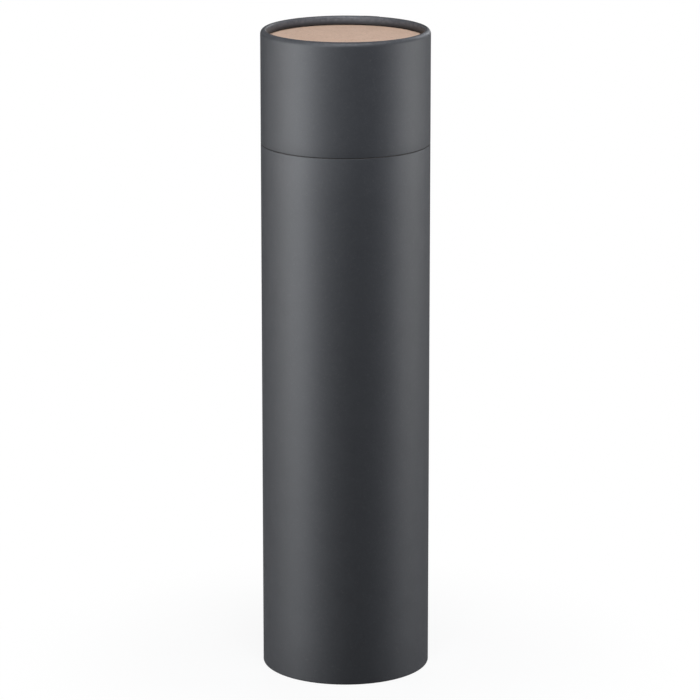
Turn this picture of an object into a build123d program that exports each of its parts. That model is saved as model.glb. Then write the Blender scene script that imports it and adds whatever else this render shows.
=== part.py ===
from build123d import *
import math
import os

# Cylindrical gift tube box: a body tube with a neck, and a flush lid that slides
# up off the neck. Both tubes are wound board in cover paper, and each has one end
# rolled inwards over a recessed disc.
# Millimetres, +Z up, origin at the centre of the base, where the box stands.
# The sections of the rolled tubes are drawn on the XZ plane: radius, then height.

# Overall sizes
outer_diameter = 90.0
overall_height = 348.0
lid_height = 60.8
neck_headroom = 8.8  # from the neck's edge up to the inside of the lid's top

# Boards and papers
wrap_paper = 0.25  # charcoal cover paper
kraft_paper = 0.2  # facing and lining paper
body_board = 1.7
inner_board = 1.6
disc_board = 1.5

# Fits, measured on the radius
slip_clearance = 0.3  # neck in the lid's lining
disc_clearance = 0.1  # disc in its tube

# Rolled ends
rim_depth = 5.1  # from the crest down to the disc
fold_gap = 0.4  # the two plies stand this far apart at the disc
lip_bevel = 0.35  # inner edge of both rolls
shoulder_height = 4.6  # round outer side of the lid's rim
base_bevel = 0.8  # outer edge of the base
seam_bevel = 0.3  # cover paper pressed round the edges that meet at the seam

# Straight stretches that make up the round shoulder, on the paper and on the board
paper_facets = 4
board_facets = 3

# Radii that follow, from the outside in
outer_radius = outer_diameter / 2
board_radius = outer_radius - wrap_paper
body_bore = board_radius - body_board
lid_lining_bore = body_bore + slip_clearance
lid_bore = lid_lining_bore + kraft_paper
inner_tube_radius = body_bore - kraft_paper
inner_tube_bore = inner_tube_radius - inner_board
cavity_radius = inner_tube_bore - kraft_paper
base_disc_radius = body_bore - disc_clearance
lid_disc_radius = lid_bore - disc_clearance

# The inner leg of each roll: its back, the board's face and the paper's face
base_leg_back = body_bore - fold_gap
base_leg_board = base_leg_back - body_board
base_leg_face = base_leg_board - wrap_paper
lid_leg_back = lid_bore - fold_gap
lid_leg_board = lid_leg_back - (board_radius - lid_bore)
lid_leg_face = lid_leg_board - wrap_paper
crest_radius = lid_leg_face + lip_bevel

# Heights that follow
seam_height = overall_height - lid_height
disc_stack = kraft_paper + disc_board + kraft_paper
base_inside = rim_depth + disc_stack
lid_disc_top = overall_height - rim_depth
lid_inside = lid_disc_top - disc_stack
neck_top = lid_inside - neck_headroom
neck_length = neck_top - base_inside
shoulder_foot = overall_height - shoulder_height
board_crest = overall_height - wrap_paper

# The plies part half way between the crest's inner side and the disc
base_fold_top = (wrap_paper + body_board + rim_depth) / 2
lid_fold_top = overall_height - (outer_radius - lid_bore + rim_depth) / 2


def shoulder_points(foot_radius, top_radius, top_height, facets):
    """Points on the quarter ellipse from the shoulder's foot up to its top."""
    width = foot_radius - top_radius
    height = top_height - shoulder_foot
    angles = [math.radians(90) * step / facets for step in range(facets + 1)]
    return [(top_radius + width * math.cos(a), shoulder_foot + height * math.sin(a)) for a in angles]


# Board faces under the cover paper, from the seam to the foot of the roll's inner leg
base_board_face = [
    (board_radius, seam_height),
    (board_radius, base_bevel),
    (outer_radius - base_bevel, wrap_paper),
    (base_leg_board, wrap_paper),
    (base_leg_board, rim_depth),
]
lid_board_face = [
    (board_radius, seam_height),
    *shoulder_points(board_radius, lid_leg_board, board_crest, board_facets),
    (lid_leg_board, lid_disc_top),
]

# Outer side of the lid's rim, from the wall up to the crest
lid_shoulder = shoulder_points(outer_radius, crest_radius, overall_height, paper_facets)

# Board tube of the body, rolled in at the base
with BuildPart() as body_tube:
    with BuildSketch(Plane.XZ):
        with BuildLine():
            Polyline(
                *base_board_face,
                (base_leg_back, rim_depth),
                (body_bore, base_fold_top),
                (body_bore, seam_height),
                close=True,
            )
        make_face()
    revolve(axis=Axis.Z)
body_tube.part.label = "body_tube"

# Charcoal cover paper of the body
with BuildPart() as body_wrap:
    with BuildSketch(Plane.XZ):
        with BuildLine():
            Polyline(
                *base_board_face,
                (base_leg_face, rim_depth),
                (base_leg_face, lip_bevel),
                (base_leg_face + lip_bevel, 0),
                (outer_radius - base_bevel, 0),
                (outer_radius, base_bevel),
                (outer_radius, seam_height - seam_bevel),
                close=True,
            )
        make_face()
    revolve(axis=Axis.Z)
body_wrap.part.label = "body_wrap"

# Kraft paper under the base disc, resting on the end of the roll
with BuildPart() as base_disc_facing:
    with BuildSketch(Plane.XY.offset(rim_depth)):
        Circle(base_disc_radius)
    extrude(amount=kraft_paper)
base_disc_facing.part.label = "base_disc_facing"

# Board disc that closes the base
with BuildPart() as base_disc:
    with BuildSketch(Plane.XY.offset(rim_depth + kraft_paper)):
        Circle(base_disc_radius)
    extrude(amount=disc_board)
base_disc.part.label = "base_disc"

# Kraft paper on top of the base disc
with BuildPart() as base_disc_lining:
    with BuildSketch(Plane.XY.offset(base_inside - kraft_paper)):
        Circle(base_disc_radius)
    extrude(amount=kraft_paper)
base_disc_lining.part.label = "base_disc_lining"

# Board tube glued in the body, which stands out of it as the neck
with BuildPart() as inner_tube:
    with BuildSketch(Plane.XY.offset(base_inside)):
        Circle(inner_tube_radius)
        Circle(inner_tube_bore, mode=Mode.SUBTRACT)
    extrude(amount=neck_length)
inner_tube.part.label = "inner_tube"

# Kraft paper round the inner tube
with BuildPart() as inner_tube_facing:
    with BuildSketch(Plane.XY.offset(base_inside)):
        Circle(body_bore)
        Circle(inner_tube_radius, mode=Mode.SUBTRACT)
    extrude(amount=neck_length)
inner_tube_facing.part.label = "inner_tube_facing"

# Kraft paper inside the inner tube
with BuildPart() as inner_tube_lining:
    with BuildSketch(Plane.XY.offset(base_inside)):
        Circle(inner_tube_bore)
        Circle(cavity_radius, mode=Mode.SUBTRACT)
    extrude(amount=neck_length)
inner_tube_lining.part.label = "inner_tube_lining"

# Board tube of the lid, rolled in at the top
with BuildPart() as lid_tube:
    with BuildSketch(Plane.XZ):
        with BuildLine():
            Polyline(
                *lid_board_face,
                (lid_leg_back, lid_disc_top),
                (lid_bore, lid_fold_top),
                (lid_bore, seam_height),
                close=True,
            )
        make_face()
    revolve(axis=Axis.Z)
lid_tube.part.label = "lid_tube"

# Charcoal cover paper of the lid, carried round the rim and down to the disc
with BuildPart() as lid_wrap:
    with BuildSketch(Plane.XZ):
        with BuildLine():
            Polyline(
                *lid_board_face,
                (lid_leg_face, lid_disc_top),
                (lid_leg_face, overall_height - lip_bevel),
                *reversed(lid_shoulder),
                (outer_radius, seam_height + seam_bevel),
                close=True,
            )
        make_face()
    revolve(axis=Axis.Z)
lid_wrap.part.label = "lid_wrap"

# Kraft paper inside the lid tube, which slides on the neck
with BuildPart() as lid_lining:
    with BuildSketch(Plane.XY.offset(seam_height)):
        Circle(lid_bore)
        Circle(lid_lining_bore, mode=Mode.SUBTRACT)
    extrude(amount=lid_inside - seam_height)
lid_lining.part.label = "lid_lining"

# Kraft paper under the lid disc
with BuildPart() as lid_disc_lining:
    with BuildSketch(Plane.XY.offset(lid_inside)):
        Circle(lid_disc_radius)
    extrude(amount=kraft_paper)
lid_disc_lining.part.label = "lid_disc_lining"

# Board disc that closes the lid
with BuildPart() as lid_disc:
    with BuildSketch(Plane.XY.offset(lid_inside + kraft_paper)):
        Circle(lid_disc_radius)
    extrude(amount=disc_board)
lid_disc.part.label = "lid_disc"

# Kraft paper on top of the lid disc: the brown round inside the rim
with BuildPart() as lid_disc_facing:
    with BuildSketch(Plane.XY.offset(lid_disc_top - kraft_paper)):
        Circle(lid_disc_radius)
    extrude(amount=kraft_paper)
lid_disc_facing.part.label = "lid_disc_facing"

# One STEP file for each piece
os.makedirs("parts", exist_ok=True)
export_step(body_tube.part, "parts/body_tube.step")
export_step(body_wrap.part, "parts/body_wrap.step")
export_step(base_disc_facing.part, "parts/base_disc_facing.step")
export_step(base_disc.part, "parts/base_disc.step")
export_step(base_disc_lining.part, "parts/base_disc_lining.step")
export_step(inner_tube.part, "parts/inner_tube.step")
export_step(inner_tube_facing.part, "parts/inner_tube_facing.step")
export_step(inner_tube_lining.part, "parts/inner_tube_lining.step")
export_step(lid_tube.part, "parts/lid_tube.step")
export_step(lid_wrap.part, "parts/lid_wrap.step")
export_step(lid_lining.part, "parts/lid_lining.step")
export_step(lid_disc_lining.part, "parts/lid_disc_lining.step")
export_step(lid_disc.part, "parts/lid_disc.step")
export_step(lid_disc_facing.part, "parts/lid_disc_facing.step")
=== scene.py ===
import bpy
import math
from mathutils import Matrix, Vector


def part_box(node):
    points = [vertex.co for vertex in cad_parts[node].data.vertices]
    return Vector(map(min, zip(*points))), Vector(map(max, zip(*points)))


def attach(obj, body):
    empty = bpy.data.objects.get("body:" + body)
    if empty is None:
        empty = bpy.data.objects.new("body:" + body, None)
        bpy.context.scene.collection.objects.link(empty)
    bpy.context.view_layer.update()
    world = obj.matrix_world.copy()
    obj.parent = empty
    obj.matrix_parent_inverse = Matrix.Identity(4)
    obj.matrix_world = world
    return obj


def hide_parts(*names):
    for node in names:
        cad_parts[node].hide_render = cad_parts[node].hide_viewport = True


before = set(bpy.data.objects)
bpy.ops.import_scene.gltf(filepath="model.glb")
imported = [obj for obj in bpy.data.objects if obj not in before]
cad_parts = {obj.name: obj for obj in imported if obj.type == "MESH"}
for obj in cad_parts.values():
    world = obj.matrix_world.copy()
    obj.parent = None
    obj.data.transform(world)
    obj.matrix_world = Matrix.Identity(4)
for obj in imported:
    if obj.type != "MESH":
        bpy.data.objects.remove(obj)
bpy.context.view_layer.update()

# Cylindrical gift tube box, dressed for looks: cover papers with their laps and pleats, wound
# and pressed board, kraft papers. Metres, +Z up, origin at the centre of the base.
# The section of each piece lists points as radius, then height.

MM = 0.001

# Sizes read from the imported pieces


def radii(node):
    """Smallest and largest radius of a round piece."""
    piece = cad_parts[node]
    reach = [(piece.matrix_world @ v.co).xy.length for v in piece.data.vertices]
    return min(reach), max(reach)


def heights(node):
    """Lowest and highest point of a piece."""
    low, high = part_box(node)
    return low[2], high[2]


base_leg_face, outer = radii("body_wrap")
lid_leg_face = radii("lid_wrap")[0]
base_leg_board, board_radius = radii("body_tube")
lid_leg_board = radii("lid_tube")[0]
inner_tube_bore, inner_tube_radius = radii("inner_tube")
cavity_radius = radii("inner_tube_lining")[0]
body_bore = radii("inner_tube_facing")[1]
lid_lining_bore, lid_bore = radii("lid_lining")
lid_disc_radius = radii("lid_disc")[1]
base_disc_radius = radii("base_disc")[1]

seam, top = heights("lid_wrap")
base_disc_foot, base_disc_face = heights("base_disc_facing")
base_lining_foot, base_inside = heights("base_disc_lining")
lid_inside, lid_lining_top = heights("lid_disc_lining")
lid_facing_foot, lid_disc_face = heights("lid_disc_facing")
neck_top = heights("inner_tube")[1]
paper = outer - board_radius
body_ply = board_radius - body_bore

# Rim of the lid, from the outside in
shoulder_height = 2.7 * MM
crest_width = 1.0 * MM
crest_depth = 3.2 * MM
foot_width = 1.0 * MM  # the paper turns out on to the disc
foot_height = 0.8 * MM

# Roll of the base, from the outside in
base_round = 1.0 * MM
lip = 0.42 * MM
leg_foot = 0.3 * MM

# Edges that meet at the seam: each paper stops short of it, and the board is pressed thin
seam_gap = 0.2 * MM
seam_lip = 0.24 * MM
ring_bevel = 0.9 * MM
ring_fall = 0.16 * MM
bore_round = 0.15 * MM

# Cut edges of the neck and the discs, and how far two of the papers dish in their middle
cut_round = 0.2 * MM
cut_fall = 0.1 * MM
cut_flat = 0.3 * MM
disc_round = 0.3 * MM
base_dish = 0.05 * MM
lid_dish = 0.08 * MM

# Boards stay this far under their papers, and the plies of a roll part this far at the disc
hair = 0.02 * MM
fold_gap = 0.4 * MM

# The cover paper laps over itself down the back of each tube: its cut edge is a sharp step,
# and its other side fades between two shares of the lap's width
lap_step = 0.12 * MM
lap_width = 9.0 * MM
lap_cut = 0.03 * MM
lap_flat = 0.3
lap_fade = 0.5
body_lap = math.radians(98)
lid_lap = math.radians(71)

# Pleats where the paper is drawn in round a roll. On the lid the lap ends at a share of the
# way down to where they are deepest.
pleats_round = 74
pleat_depth = 0.07 * MM
base_pleat_reach = 2.5 * MM
base_pleat_phase = 0.4
lid_pleat_edge = 0.5 * MM
lid_pleat_start = 0.2 * MM
lid_pleat_phase = 2.1
lid_lap_end = 0.25

# How fine the meshes are: points round the tube, the shortest step along a section, and the
# angle from which an edge is sharp
fine_spokes = 480
plain_spokes = 240
shortest_step = 0.002 * MM
sharp_angle = math.radians(40)

# Mesh tools


def arc(centre, width, height, start, stop, count):
    """Points on an ellipse round a centre, from one angle to another in degrees."""
    points = []
    for i in range(count + 1):
        a = math.radians(start + (stop - start) * i / count)
        points.append((centre[0] + width * math.cos(a), centre[1] + height * math.sin(a)))
    return points


def run(start, stop, count):
    """Points along a straight line."""
    return [(start[0] + (stop[0] - start[0]) * i / count,
             start[1] + (stop[1] - start[1]) * i / count) for i in range(count + 1)]


def thin(points):
    """The same points without doubles."""
    kept = []
    for p in points:
        if not kept or math.dist(p, kept[-1]) > shortest_step:
            kept.append(p)
    return kept


def spokes(count, extra=()):
    """Angles round the tube, with extra ones where the surface has a step."""
    angles = [2 * math.pi * i / count for i in range(count)]
    extra = [a % (2 * math.pi) for a in extra]
    gap = math.pi / count
    angles = [a for a in angles if all(abs(a - e) > gap * 0.6 for e in extra)]
    return sorted(angles + extra)


def leaning(section, closed):
    """The direction that each point of a section stands out in."""
    count = len(section)
    lean = []
    for i in range(count):
        before = section[i - 1] if closed or i else section[i]
        after = section[(i + 1) % count] if closed or i + 1 < count else section[i]
        along = (after[0] - before[0], after[1] - before[1])
        size = math.hypot(*along) or 1
        lean.append((along[1] / size, -along[0] / size))
    return lean


def turn(name, section, angles, relief=None):
    """A piece turned round the tube's axis from its section. relief gives how far a point
    of the section stands out at an angle. A section that starts on the axis stays open."""
    count = len(section)
    closed = section[0][0] > 0
    lean = leaning(section, closed)
    points = []
    rings = []
    for i, (r, z) in enumerate(section):
        if r == 0:
            rings.append([len(points)] * len(angles))
            points.append((0, 0, z))
            continue
        rings.append(list(range(len(points), len(points) + len(angles))))
        for a in angles:
            out = relief(i, a) if relief else 0
            radius = r + lean[i][0] * out
            points.append((radius * math.cos(a), radius * math.sin(a), z + lean[i][1] * out))
    faces = []
    for i in range(count if closed else count - 1):
        here, there = rings[i], rings[(i + 1) % count]
        for j in range(len(angles)):
            k = (j + 1) % len(angles)
            faces.append(list(dict.fromkeys([here[j], here[k], there[k], there[j]])))
    mesh = bpy.data.meshes.new(name)
    mesh.from_pydata(points, [], faces)
    mesh.validate()
    mesh.shade_smooth()
    mesh.set_sharp_from_angle(angle=sharp_angle)
    piece = bpy.data.objects.new(name, mesh)
    bpy.context.scene.collection.objects.link(piece)
    return piece


def clamp(value):
    """The value, held between 0 and 1."""
    return min(max(value, 0.0), 1.0)


def lap(angle, middle):
    """How much of the lap's step there is at an angle: none, or 1 on the lap."""
    across = ((angle - middle + math.pi) % (2 * math.pi) - math.pi) * outer
    if across < -lap_width / 2:
        return 0.0
    fall = clamp((across - lap_width * lap_flat) / (lap_width * lap_fade))
    return 1 - fall * fall * (3 - 2 * fall)


def lap_spokes(middle):
    """Angles at the cut edge of the lap and on its soft side."""
    edge = [-lap_width / 2 - lap_cut, -lap_width / 2 + lap_cut]
    soft = [lap_width * (lap_flat + lap_fade * i / 5) for i in range(6)]
    return [middle + x / outer for x in edge + soft]


def pleat(angle, phase):
    """Small uneven pleats, from 0 to 1."""
    sway = 1.3 * math.sin(3 * angle + phase) + 0.7 * math.sin(7 * angle - phase)
    size = 0.55 + 0.3 * math.sin(5 * angle + 2 * phase) + 0.15 * math.sin(11 * angle)
    return size * (0.5 + 0.5 * math.sin(pleats_round * angle + sway)) ** 3


def paper_tube(name, bore, radius, low, high):
    """A paper tube with softened ends."""
    half = (radius - bore) / 2
    return turn(name, thin(
        run((radius, low + half), (radius, high - half), 12)
        + arc((radius - half, high - half), half, half, 0, 180, 6)
        + run((bore, high - half), (bore, low + half), 12)
        + arc((bore + half, low + half), half, half, 180, 360, 6)), spokes(plain_spokes))


def disc(name, radius, low, high, dish=0.0):
    """A round of paper or board, dished a little in its middle and soft at its edge."""
    half = min((high - low) / 2, disc_round)
    rings = [i / 10 for i in range(10)]
    upper = [(radius * s, high - dish * (1 - s * s)) for s in rings]
    lower = [(radius * s, low) for s in rings]
    edge = arc((radius - half, low + half), half, half, 270, 360, 4)
    edge += arc((radius - half, high - half), half, half, 0, 90, 4)
    return turn(name, thin(lower + edge + upper[::-1]), spokes(plain_spokes))


# Cover paper of the body: up the inner leg's face, over the ring that it stands on, up
# the wall to the seam, and back along the board
body_edge = seam - seam_gap - seam_lip
body_skin = thin(
    arc((base_leg_face + leg_foot, base_disc_foot - leg_foot), leg_foot, leg_foot, 90, 180, 4)
    + run((base_leg_face, base_disc_foot - leg_foot), (base_leg_face, lip), 6)
    + arc((base_leg_face + lip, lip), lip, lip, 180, 270, 6)
    + run((base_leg_face + lip, 0), (outer - base_round, 0), 3)
    + arc((outer - base_round, base_round), base_round, base_round, 270, 360, 9)
    + run((outer, base_round), (outer, body_edge), 12)
    + arc((board_radius, body_edge), paper, seam_lip, 0, 90, 6))
body_back = thin(
    run((board_radius, body_edge), (board_radius, base_round), 2)
    + arc((outer - base_round, base_round), base_round - paper, base_round - paper, 360, 270, 4)
    + run((base_leg_board, paper), (base_leg_board, base_disc_foot), 2))


def body_relief(i, angle):
    """The lap and the pleats of the body's cover paper."""
    if i >= len(body_skin):
        return 0
    r, z = body_skin[i]
    out = (lap(angle, body_lap) - 1) * lap_step
    if r > outer - base_round or z > base_disc_foot:
        return out if z < seam - seam_gap - hair else 0
    inward = clamp((board_radius - r) / base_pleat_reach)
    return out * (1 - inward) - pleat_depth * inward * pleat(angle, base_pleat_phase)


body_cover = turn("body_cover", body_skin + body_back,
                  spokes(fine_spokes, lap_spokes(body_lap)), body_relief)

# Board of the body: the ring at the seam is pressed thin at its outer edge
body_board = turn("body_board", thin(
    run((board_radius - hair, base_round), (board_radius - hair, seam - ring_fall), 4)
    + arc((board_radius - ring_bevel, seam - ring_fall), ring_bevel, ring_fall, 0, 90, 5)
    + arc((body_bore + bore_round, seam - bore_round), bore_round, bore_round, 90, 180, 3)
    + run((body_bore, seam - bore_round), (body_bore, (base_disc_foot + body_ply) / 2), 4)
    + [(body_bore - fold_gap, base_disc_foot - hair),
       (base_leg_board + hair, base_disc_foot - hair),
       (base_leg_board + hair, paper + hair),
       (outer - base_round, paper + hair)]), spokes(plain_spokes))

# Inner tube and its papers: the cut plies show on the neck's edge
neck_out = inner_tube_radius - hair
neck_in = inner_tube_bore + hair
cut_foot = neck_top - cut_fall
neck_board = turn("neck_board", thin(
    run((neck_out, base_inside), (neck_out, cut_foot), 4)
    + arc((neck_out - cut_round, cut_foot), cut_round, cut_fall, 0, 90, 3)
    + run((inner_tube_radius - cut_flat, neck_top), (inner_tube_bore + cut_flat, neck_top), 4)
    + arc((neck_in + cut_round, cut_foot), cut_round, cut_fall, 90, 180, 3)
    + run((neck_in, cut_foot), (neck_in, base_inside), 4)), spokes(plain_spokes))
neck_cover = paper_tube("neck_cover", inner_tube_radius, body_bore, base_inside, neck_top)
neck_lining = paper_tube("neck_lining", cavity_radius, inner_tube_bore, base_inside, neck_top)

# Base disc and its papers
base_under_paper = disc("base_under_paper", base_disc_radius, base_disc_foot, base_disc_face)
base_board = disc("base_board", base_disc_radius, *heights("base_disc"))
base_floor_paper = disc("base_floor_paper", base_disc_radius, base_lining_foot, base_inside,
                        base_dish)

# Cover paper of the lid: from the seam up the wall, over the shoulder and the crest, down
# the inner leg to the disc, and back along the board
crest = lid_leg_face + crest_width
crest_foot = top - crest_depth
shoulder_foot = top - shoulder_height
shoulder_width = outer - crest
foot_middle = (lid_leg_face + foot_width, lid_disc_face + foot_height)
lid_edge = seam + seam_gap + seam_lip
lid_skin = thin(
    arc((board_radius, lid_edge), paper, seam_lip, 270, 360, 6)
    + run((outer, lid_edge), (outer, shoulder_foot), 8)
    + arc((crest, shoulder_foot), shoulder_width, shoulder_height, 0, 90, 24)
    + arc((crest, crest_foot), crest_width, crest_depth, 90, 180, 14)
    + run((lid_leg_face, crest_foot), (lid_leg_face, foot_middle[1]), 4)
    + arc(foot_middle, foot_width, foot_height, 180, 270, 8))
lid_back = thin(
    arc(foot_middle, foot_width - paper, foot_height - paper, 270, 180, 5)
    + run((lid_leg_board, foot_middle[1]), (lid_leg_board, crest_foot), 2)
    + arc((crest, crest_foot), crest_width - paper, crest_depth - paper, 180, 90, 6)
    + arc((crest, shoulder_foot), shoulder_width - paper, shoulder_height - paper, 90, 0, 10)
    + run((board_radius, shoulder_foot), (board_radius, lid_edge), 2))


def lid_relief(i, angle):
    """The lap and the pleats of the lid's cover paper."""
    if i >= len(lid_skin):
        return 0
    r, z = lid_skin[i]
    out = (lap(angle, lid_lap) - 1) * lap_step
    if r > crest + lid_pleat_edge:
        return out if z > seam + seam_gap + hair else 0
    inward = clamp((top - z - lid_pleat_start) / crest_depth)
    out = out * max(1 - inward / lid_lap_end, 0)
    return out - pleat_depth * inward * pleat(angle, lid_pleat_phase)


lid_cover = turn("lid_cover", lid_skin + lid_back,
                 spokes(fine_spokes, lap_spokes(lid_lap)), lid_relief)

# Board of the lid: its ring at the seam rests on the body's
under = paper + hair
lid_fold_top = top - (outer - lid_bore + top - lid_disc_face) / 2
lid_board = turn("lid_board", thin(
    arc((board_radius - ring_bevel, seam + ring_fall), ring_bevel, ring_fall, 270, 360, 5)
    + run((board_radius - hair, seam + ring_fall), (board_radius - hair, shoulder_foot), 4)
    + arc((crest, shoulder_foot), shoulder_width - under, shoulder_height - under, 0, 90, 10)
    + arc((crest, crest_foot), crest_width - under, crest_depth - under, 90, 180, 6)
    + arc(foot_middle, foot_width - under, foot_height - under, 180, 270, 5)
    + [(lid_bore - fold_gap, lid_disc_face + under)]
    + run((lid_bore, lid_fold_top), (lid_bore, seam + bore_round), 4)
    + arc((lid_bore + bore_round, seam + bore_round), bore_round, bore_round, 180, 270, 3)),
    spokes(plain_spokes))

# Lining, disc and papers of the lid
lid_inner_paper = paper_tube("lid_inner_paper", lid_lining_bore, lid_bore, seam, lid_inside)
lid_top_paper = disc("lid_top_paper", lid_disc_radius, lid_facing_foot, lid_disc_face, lid_dish)
lid_disc_board = disc("lid_disc_board", lid_disc_radius, *heights("lid_disc"))
lid_ceiling_paper = disc("lid_ceiling_paper", lid_disc_radius, lid_inside, lid_lining_top)

# Materials


class Wire:
    """A socket's value. An expression on wires adds the Math nodes for it."""

    def __init__(self, paint, socket):
        self.paint = paint
        self.socket = socket

    def __add__(self, other):
        return self.paint.math("ADD", self, other)

    def __sub__(self, other):
        return self.paint.math("SUBTRACT", self, other)

    def __rsub__(self, other):
        return self.paint.math("SUBTRACT", other, self)

    def __mul__(self, other):
        return self.paint.math("MULTIPLY", self, other)

    def __truediv__(self, other):
        return self.paint.math("DIVIDE", self, other)

    def __rtruediv__(self, other):
        return self.paint.math("DIVIDE", other, self)

    __radd__ = __add__
    __rmul__ = __mul__


class Paint:
    """The nodes of a material or of the world, built up by its methods."""

    def __init__(self, block, shader="Principled BSDF"):
        block.use_nodes = True
        self.block = block
        self.tree = block.node_tree
        self.shader = self.tree.nodes[shader]

    def plug(self, socket, value):
        """Links a wire to a socket, or sets a plain value on it."""
        if isinstance(value, Wire):
            self.tree.links.new(value.socket, socket)
        else:
            socket.default_value = value

    def add(self, kind, settings, sockets, output=0):
        """Adds a node: its settings first, then its sockets by name or number."""
        node = self.tree.nodes.new(kind)
        for key, value in settings.items():
            setattr(node, key, value)
        for key, value in sockets.items():
            self.plug(node.inputs[key], value)
        return Wire(self, node.outputs[output])

    def fill(self, sockets):
        """Fills the shader's sockets by name, and gives the material or the world."""
        for key, value in sockets.items():
            self.plug(self.shader.inputs[key], value)
        return self.block

    def math(self, operation, *values):
        return self.add("ShaderNodeMath", {"operation": operation}, dict(enumerate(values)))

    def ray(self, kind):
        """1 for rays of this kind."""
        return self.add("ShaderNodeLightPath", {}, {}, kind)

    def backdrop(self, gloss_share):
        """1 for rays that show the background: straight from the camera or through glass.
        Rays of a shine have their own share."""
        straight = self.math("MAXIMUM", self.ray("Is Camera Ray"), self.ray("Is Transmission Ray"))
        return self.math("MAXIMUM", straight, self.ray("Is Glossy Ray") * gloss_share)

    def mix(self, share, first, second):
        """A colour between two colours."""
        return self.add("ShaderNodeMix", {"data_type": "RGBA"}, {0: share, 6: first, 7: second}, 2)

    def place(self):
        """Position on the piece at rest, in metres."""
        return self.add("ShaderNodeTexCoord", {}, {}, "Object")

    def along(self, axis):
        """The position's x, y or z."""
        return self.add("ShaderNodeSeparateXYZ", {}, {0: self.place()}, axis)

    def radius(self):
        """Distance from the tube's axis."""
        x, y = self.along("X"), self.along("Y")
        return self.math("SQRT", x * x + y * y)

    def noise(self, size, detail=2.0, roughness=0.5, swirl=0.0):
        """Cloudy noise from 0 to 1 whose lumps are about this size in metres."""
        sockets = {"Vector": self.place(), "Scale": 1 / size, "Detail": detail,
                   "Roughness": roughness, "Distortion": swirl}
        return self.add("ShaderNodeTexNoise", {"noise_dimensions": "3D"}, sockets)

    def rise(self, value, low, high):
        """0 below low, 1 above high, and smooth between."""
        return self.add("ShaderNodeMapRange", {"interpolation_type": "SMOOTHSTEP"},
                        {"Value": value, "From Min": low, "From Max": high})

    def near(self, value, middle, reach):
        """1 where a value is at the middle, falling to 0 at this reach from it."""
        return 1 - self.rise(self.math("ABSOLUTE", value - middle), 0.0, reach)

    def fibres(self, size, width, share):
        """Short curved fibres: thin ridges of a noise, broken up by another."""
        ridge = self.near(self.noise(size, 1.0, 0.5, 1.6), 0.5, width)
        low = 0.62 - share * 0.25
        return ridge * self.rise(self.noise(size * 0.8, 2.0), low, low + 0.08)

    def bump(self, height, depth, below=None):
        """Relief of this depth in metres, on top of another bump."""
        sockets = {"Height": height, "Distance": depth, "Strength": 1.0}
        if below:
            sockets["Normal"] = below
        return self.add("ShaderNodeBump", {}, sockets)


def charcoal_paper():
    """Uncoated dark paper: slightly blue, with fine tooth, faint fibres and rubbed edges, and
    painted highlights and painted shade on the lid's rim.
    """
    paint = Paint(bpy.data.materials.new("charcoal_cover_paper"))
    z, radius = paint.along("Z"), paint.radius()
    cloud = paint.noise(11 * MM, 3.0, 0.55)
    mottle = paint.noise(1.3 * MM, 3.0, 0.6)
    fibre = paint.fibres(2.4 * MM, 0.035, 0.5)
    tooth = paint.noise(0.32 * MM, 2.0, 0.6)
    patchy = paint.rise(paint.noise(2.2 * MM, 4.0, 0.65), 0.36, 0.66)

    # Places on the paper: the seam and the base's edge, which are rubbed lighter; the rim's outer
    # shoulder, with a painted highlight; and on the rim's inner side the lip, with a painted
    # highlight, and the crest and the fold at the disc, with painted shade
    at_seam = paint.near(z, seam, 0.55 * MM)
    rim_highlight = paint.near(z, top - 1.0 * MM, 0.8 * MM)
    rim_highlight = rim_highlight * paint.rise(radius, crest + 0.2 * MM, crest + 0.8 * MM)
    at_base = 1 - paint.rise(z, 0.1 * MM, 0.9 * MM)
    inside = 1 - paint.rise(radius, crest + 0.3 * MM, crest + 1.0 * MM)
    lip_highlight = inside * paint.rise(z, top - 4.0 * MM, top - 2.0 * MM)
    crest_shade = paint.near(radius, crest, 1.1 * MM)
    crest_shade = crest_shade * paint.rise(z, top - 0.7 * MM, top - 0.25 * MM)
    fold_shade = inside * paint.near(z, lid_disc_face, 2.2 * MM)
    edges = paint.math("MAXIMUM", paint.math("MAXIMUM", at_seam, rim_highlight), at_base)
    wear_and_highlight = edges * (0.35 + 0.65 * patchy)

    shade = paint.rise(0.36 * mottle + 0.34 * cloud + 0.30 * tooth, 0.30, 0.70)
    colour = paint.mix(shade, (0.0276, 0.0300, 0.0363, 1), (0.0358, 0.0386, 0.0455, 1))
    colour = paint.mix(fibre * 0.22, colour, (0.08, 0.08, 0.083, 1))
    # Painted highlight on the upper part of the rim's inner side, made patchy by a noise
    colour = paint.mix(lip_highlight * (0.5 + 0.4 * patchy), colour, (0.122, 0.125, 0.138, 1))
    # Painted shade: the crest of the rim is made near black
    colour = paint.mix(crest_shade * 0.8, colour, (0.011, 0.011, 0.012, 1))
    # Painted shade: the rim's inner side is made near black at the fold by the disc
    colour = paint.mix(fold_shade * 0.9, colour, (0.009, 0.008, 0.008, 1))
    # Lighter edges: rubbed wear at the seam and the base, and a painted highlight on the rim's
    # outer shoulder
    colour = paint.mix(wear_and_highlight * 0.55, colour, (0.10, 0.10, 0.107, 1))
    relief = paint.bump(mottle * 0.6 + cloud * 0.4, 0.05 * MM)
    relief = paint.bump(tooth + fibre * 0.3, 0.025 * MM, relief)
    return paint.fill({"Base Color": colour,
                       "Roughness": 0.50 + 0.10 * mottle + 0.06 * wear_and_highlight + 0.3 * crest_shade,
                       "Specular IOR Level": 0.5, "Normal": relief})


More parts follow.
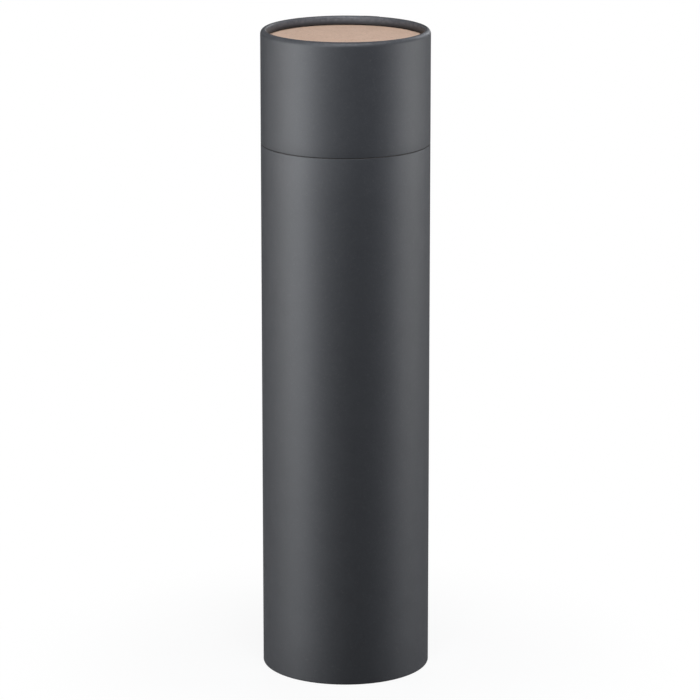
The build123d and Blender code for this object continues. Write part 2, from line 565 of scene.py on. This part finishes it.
def kraft_paper(name, wound):
    """Brown kraft paper with straw and dark fibres. On a wound tube its edges meet along a helix,
    and on a disc it is darker near its edge with painted shade."""
    paint = Paint(bpy.data.materials.new(name))
    cloud = paint.noise(9 * MM, 3.0, 0.55)
    mottle = paint.noise(0.9 * MM, 3.0, 0.6)
    straw = paint.fibres(1.9 * MM, 0.05, 0.55)
    dark = paint.fibres(2.6 * MM, 0.035, 0.35)
    tooth = paint.noise(0.3 * MM, 2.0, 0.6)
    shade = paint.rise(0.45 * mottle + 0.30 * cloud + 0.25 * tooth, 0.30, 0.70)
    colour = paint.mix(shade, (0.546, 0.365, 0.263, 1), (0.665, 0.463, 0.347, 1))
    colour = paint.mix(straw * 0.5, colour, (0.72, 0.56, 0.44, 1))
    colour = paint.mix(dark * 0.55, colour, (0.27, 0.17, 0.115, 1))
    relief = paint.bump(mottle * 0.6 + tooth * 0.4 + straw * 0.4, 0.04 * MM)
    if wound:
        pitch = 96 * MM
        angle = paint.math("ARCTAN2", paint.along("Y"), paint.along("X"))
        turns = angle / (2 * math.pi) + paint.along("Z") / pitch
        joint = paint.near(paint.math("FRACT", turns), 0.5, 0.0035)
        colour = paint.mix(joint * 0.6, colour, (0.25, 0.165, 0.12, 1))
        relief = paint.bump(1 - joint, 0.12 * MM, relief)
    else:
        # Painted shade: a disc is darker towards its edge, as where the rim shades it
        rim_shade = paint.rise(paint.radius(), lid_leg_face - 1.3 * MM, lid_leg_face)
        colour = paint.mix(rim_shade * 0.35, colour, (0.27, 0.185, 0.135, 1))
    return paint.fill({"Base Color": colour, "Roughness": 0.68 + 0.14 * mottle,
                       "Specular IOR Level": 0.35, "Normal": relief})


def grey_board(name, ply=None):
    """Grey-brown recycled board with specks. ply is the thickness of a ply in a wound tube, whose
    edges show on a cut end, where the outer one is made dark as painted shade for the groove at
    the seam."""
    paint = Paint(bpy.data.materials.new(name))
    mottle = paint.noise(1.1 * MM, 4.0, 0.65)
    speck = paint.rise(paint.noise(0.55 * MM, 1.0), 0.66, 0.74)
    fibre = paint.fibres(1.6 * MM, 0.05, 0.6)
    shade = paint.rise(mottle, 0.30, 0.70)
    colour = paint.mix(shade, (0.33, 0.265, 0.205, 1), (0.48, 0.395, 0.315, 1))
    colour = paint.mix(speck * 0.6, colour, (0.16, 0.125, 0.10, 1))
    colour = paint.mix(fibre * 0.4, colour, (0.58, 0.49, 0.40, 1))
    relief = paint.bump(mottle + fibre * 0.3, 0.08 * MM)
    if ply:
        radius = paint.radius()
        wobble = paint.noise(5 * MM, 2.0) * 0.5
        glue = paint.near(paint.math("FRACT", radius / ply + wobble), 0.5, 0.17)
        colour = paint.mix(glue * 0.5, colour, (0.19, 0.14, 0.10, 1))
        relief = paint.bump(1 - glue, 0.06 * MM, relief)
        # Painted shade: the outer ply, which shows in the groove at the seam, is made near black
        groove_shade = paint.rise(radius + wobble * 0.3 * MM,
                           board_radius - 0.95 * MM, board_radius - 0.45 * MM)
        colour = paint.mix(groove_shade * 0.9, colour, (0.022, 0.022, 0.024, 1))
    return paint.fill({"Base Color": colour, "Roughness": 0.78 + 0.12 * mottle,
                       "Specular IOR Level": 0.3, "Normal": relief})


charcoal = charcoal_paper()
kraft_disc = kraft_paper("kraft_disc_paper", False)
kraft_wound = kraft_paper("kraft_wound_paper", True)
wound_board = grey_board("wound_board", 0.42 * MM)
pressed_board = grey_board("pressed_board")

# Each piece: the body it rides on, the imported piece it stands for, its slot and its material
dressed = [
    (body_cover, "body", "body_wrap", "charcoal_paper", charcoal),
    (body_board, "body", "body_tube", "tube_board", wound_board),
    (neck_board, "body", "inner_tube", "tube_board", wound_board),
    (neck_cover, "body", "inner_tube_facing", "kraft_paper", kraft_wound),
    (neck_lining, "body", "inner_tube_lining", "kraft_paper", kraft_wound),
    (base_under_paper, "body", "base_disc_facing", "kraft_paper", kraft_disc),
    (base_board, "body", "base_disc", "disc_board", pressed_board),
    (base_floor_paper, "body", "base_disc_lining", "kraft_paper", kraft_disc),
    (lid_cover, "lid", "lid_wrap", "charcoal_paper", charcoal),
    (lid_board, "lid", "lid_tube", "tube_board", wound_board),
    (lid_inner_paper, "lid", "lid_lining", "kraft_paper", kraft_wound),
    (lid_ceiling_paper, "lid", "lid_disc_lining", "kraft_paper", kraft_disc),
    (lid_disc_board, "lid", "lid_disc", "disc_board", pressed_board),
    (lid_top_paper, "lid", "lid_disc_facing", "kraft_paper", kraft_disc),
]
for piece, body, node, slot, material in dressed:
    piece.data.materials.append(material)
    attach(piece, body)
    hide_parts(node)

# Floor and world

room_light = 0.03  # light from the room on the box, where the background's white is 1
gloss_share = 0.13  # paper shows only a little of the background in its shine
floor_glow = 0.90  # the part of the floor's white that takes no shadow, close to the box
glow_near = 0.06
glow_far = 0.20  # from here on the floor is all white
floor_reach = 6.0
floor_drop = 0.05 * MM


def floor_material():
    """Floor that shows white to the camera, keeps a soft part of the shadow there, and
    throws little light back up the box."""
    paint = Paint(bpy.data.materials.new("white_floor"))
    dull, pale = (0.12, 0.12, 0.12, 1), (0.95, 0.95, 0.95, 1)
    block = paint.fill({"Base Color": paint.mix(paint.ray("Is Camera Ray"), dull, pale),
                        "Roughness": 0.9, "Specular IOR Level": 0.0})
    plain = Wire(paint, paint.shader.outputs[0])
    glow = paint.add("ShaderNodeEmission", {}, {"Color": (1, 1, 1, 1), "Strength": 1.0})
    far = paint.rise(paint.radius(), glow_near, glow_far)
    share = paint.backdrop(gloss_share) * (floor_glow + far * (1 - floor_glow))
    both = paint.add("ShaderNodeMixShader", {}, {0: share, 1: plain, 2: glow})
    paint.plug(paint.tree.nodes["Material Output"].inputs["Surface"], both)
    return block


floor_mesh = bpy.data.meshes.new("floor")
floor_mesh.from_pydata([(x * floor_reach, y * floor_reach, -floor_drop)
                        for x, y in ((-1, -1), (1, -1), (1, 1), (-1, 1))], [], [(0, 1, 2, 3)])
floor_mesh.materials.append(floor_material())
floor = bpy.data.objects.new("floor", floor_mesh)
bpy.context.scene.collection.objects.link(floor)

studio = Paint(bpy.data.worlds.new("studio"), "Background")
shown = studio.backdrop(gloss_share)
bpy.context.scene.world = studio.fill({"Color": (1, 1, 1, 1),
                                       "Strength": shown + (1 - shown) * room_light})

# Lamps

white = (1.0, 1.0, 1.0)
cool = (0.925, 0.955, 1.0)
box = (0.4, 0.4)
top_box = (0.35, 0.35)
low_box = (0.2, 0.12)
strip = (0.35, 0.3)
high_strip = (0.35, 0.5)


def soft_light(name, azimuth, elevation, distance, aim, size, power, colour=white, gives="both"):
    """A soft box of this width and height. Azimuth 0 is on the camera's side, and goes
    round to the right. aim is the height that it points at. It gives the paper colour,
    sheen or both."""
    light = bpy.data.lights.new(name, "AREA")
    light.shape = "RECTANGLE"
    light.size, light.size_y = size
    light.energy = power
    light.color = colour
    lamp = bpy.data.objects.new(name, light)
    a, e = math.radians(azimuth), math.radians(elevation)
    out = (math.sin(a) * math.cos(e), -math.cos(a) * math.cos(e), math.sin(e))
    lamp.location = (out[0] * distance, out[1] * distance, aim + out[2] * distance)
    lamp.rotation_euler = (math.pi / 2 - e, 0, a)
    lamp.visible_camera = False
    lamp.visible_diffuse = gives != "sheen"
    lamp.visible_glossy = gives != "colour"
    bpy.context.scene.collection.objects.link(lamp)


# Boxes that light everything
soft_light("left_box", -75, 0, 1.5, 0.2, box, 5.1)
soft_light("left_side_box", -90, 0, 1.5, 0.2, box, 4.5)
soft_light("right_box", 90, 0, 1.5, 0.2, box, 4.6)
soft_light("right_back_box", 105, 0, 1.5, 0.2, box, 4.5)
soft_light("front_top_box", 0, 55, 0.75, 0.3, top_box, 4.2, cool)
soft_light("right_top_box", 35, 55, 0.75, 0.3, top_box, 1.6, cool)
soft_light("back_top_box", 180, 58, 1.5, 0.3, box, 2.2, cool)

# Boxes that only lift the back and the lower part of the sides
soft_light("back_box", 180, 5, 1.5, 0.2, box, 5.0, gives="colour")
soft_light("right_low_box", 88, 0, 0.6, 0.07, low_box, 0.9, gives="colour")
soft_light("left_low_box", -85, 0, 0.6, 0.07, low_box, 0.7, gives="colour")

# Strips that draw the soft bright bands down the tube, and high ones for its upper part
for name, azimuth, power in (("left_strip", -55, 11.5), ("left_outer_strip", -70, 6.0),
                             ("left_back_strip", -115, 1.4), ("right_strip", 75, 4.4),
                             ("right_back_strip", 128, 0.8)):
    soft_light(name, azimuth, 0, 1.5, 0.15, strip, power, cool, "sheen")
for name, azimuth, power in (("left_high_strip", -40, 3.3), ("front_high_strip", -25, 12.1),
                             ("right_high_strip", 144, 9.5)):
    soft_light(name, azimuth, 0, 1.5, 0.95, high_strip, power, cool, "sheen")

# Camera, in front and a little above

camera_data = bpy.data.cameras.new("camera")
camera_data.lens = 201.442
camera_data.sensor_width = 36
camera_data.clip_end = 40
camera = bpy.data.objects.new("camera", camera_data)
camera.location = (0.002327, -2.035549, 0.685479)
camera.rotation_euler = (math.radians(90 - 14.1075), 0, 0)
bpy.context.scene.collection.objects.link(camera)
bpy.context.scene.camera = camera
bpy.context.scene.view_settings.view_transform = "Standard"
